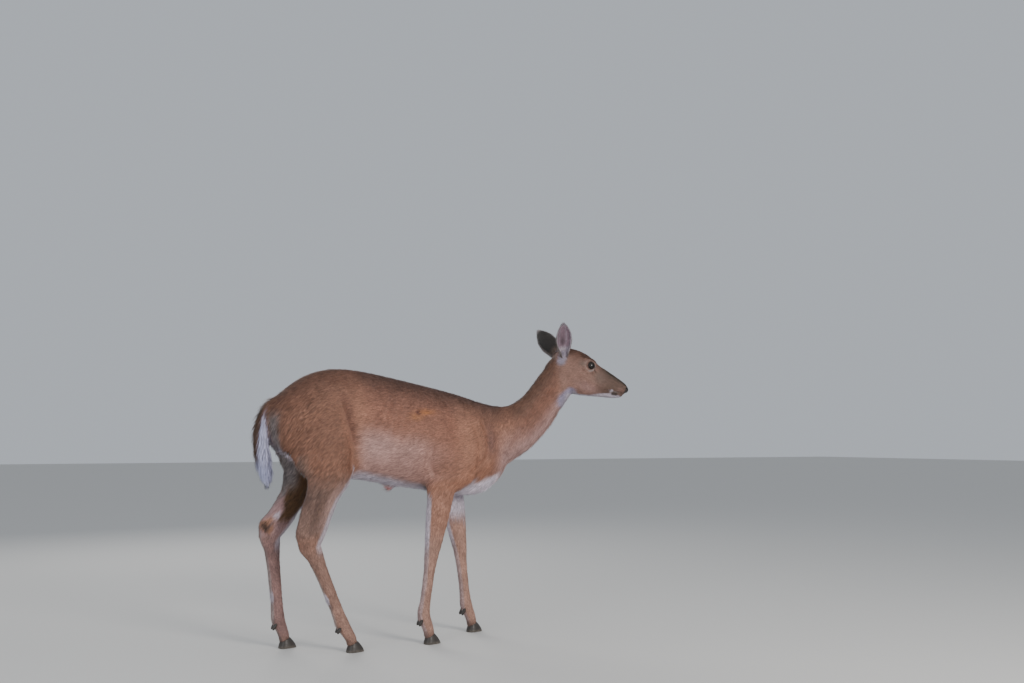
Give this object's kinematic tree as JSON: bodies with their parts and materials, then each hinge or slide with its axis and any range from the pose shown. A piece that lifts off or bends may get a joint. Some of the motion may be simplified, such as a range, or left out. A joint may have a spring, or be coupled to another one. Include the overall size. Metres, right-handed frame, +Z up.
{
  "type": "white-tailed deer",
  "caption": "Life-size still model of a standing white-tailed deer without antlers, in short reddish summer coat, head turned slightly, ears pricked, tail hanging, resting on its hooves.",
  "frame": {"origin": "middle of the bounding box at floor level, under the belly", "axes": "+X towards the nose, +Y towards the animal's left side, +Z up"},
  "size_m": [1.4598, 0.2556, 1.1721],
  "materials": {
    "head": "short brown hair over hide, near-white jaw and throat",
    "neck": "short reddish-brown hair over hide",
    "trunk": "short reddish-brown hair over hide, white belly",
    "tail": "long hair, brown behind and white before",
    "ear_left": "grey-brown velvet hair over a thin ear",
    "ear_right": "grey-brown velvet hair over a thin ear",
    "eye_left": "wet dark eye",
    "eye_right": "wet dark eye",
    "foreleg_left": "short tan hair over hide",
    "foreleg_right": "short tan hair over hide",
    "hindleg_left": "short tan hair over hide",
    "hindleg_right": "short tan hair over hide",
    "hoof_fore_left_inner": "black horn",
    "hoof_fore_left_outer": "black horn",
    "hoof_fore_right_inner": "black horn",
    "hoof_fore_right_outer": "black horn",
    "hoof_hind_left_inner": "black horn",
    "hoof_hind_left_outer": "black horn",
    "hoof_hind_right_inner": "black horn",
    "hoof_hind_right_outer": "black horn",
    "dewclaw_fore_left_inner": "black horn",
    "dewclaw_fore_left_outer": "black horn",
    "dewclaw_fore_right_inner": "black horn",
    "dewclaw_fore_right_outer": "black horn",
    "dewclaw_hind_left_inner": "black horn",
    "dewclaw_hind_left_outer": "black horn",
    "dewclaw_hind_right_inner": "black horn",
    "dewclaw_hind_right_outer": "black horn"
  },
  "bodies": {
    "root": {"head": "head", "neck": "neck", "trunk": "trunk", "tail": "tail", "ear_left": "ear_left", "ear_right": "ear_right", "eye_left": "eye_left", "eye_right": "eye_right", "foreleg_left": "foreleg_left", "foreleg_right": "foreleg_right", "hindleg_left": "hindleg_left", "hindleg_right": "hindleg_right", "hoof_fore_left_inner": "hoof_fore_left_inner", "hoof_fore_left_outer": "hoof_fore_left_outer", "hoof_fore_right_inner": "hoof_fore_right_inner", "hoof_fore_right_outer": "hoof_fore_right_outer", "hoof_hind_left_inner": "hoof_hind_left_inner", "hoof_hind_left_outer": "hoof_hind_left_outer", "hoof_hind_right_inner": "hoof_hind_right_inner", "hoof_hind_right_outer": "hoof_hind_right_outer", "dewclaw_fore_left_inner": "dewclaw_fore_left_inner", "dewclaw_fore_left_outer": "dewclaw_fore_left_outer", "dewclaw_fore_right_inner": "dewclaw_fore_right_inner", "dewclaw_fore_right_outer": "dewclaw_fore_right_outer", "dewclaw_hind_left_inner": "dewclaw_hind_left_inner", "dewclaw_hind_left_outer": "dewclaw_hind_left_outer", "dewclaw_hind_right_inner": "dewclaw_hind_right_inner", "dewclaw_hind_right_outer": "dewclaw_hind_right_outer"}
  },
  "joints": []
}
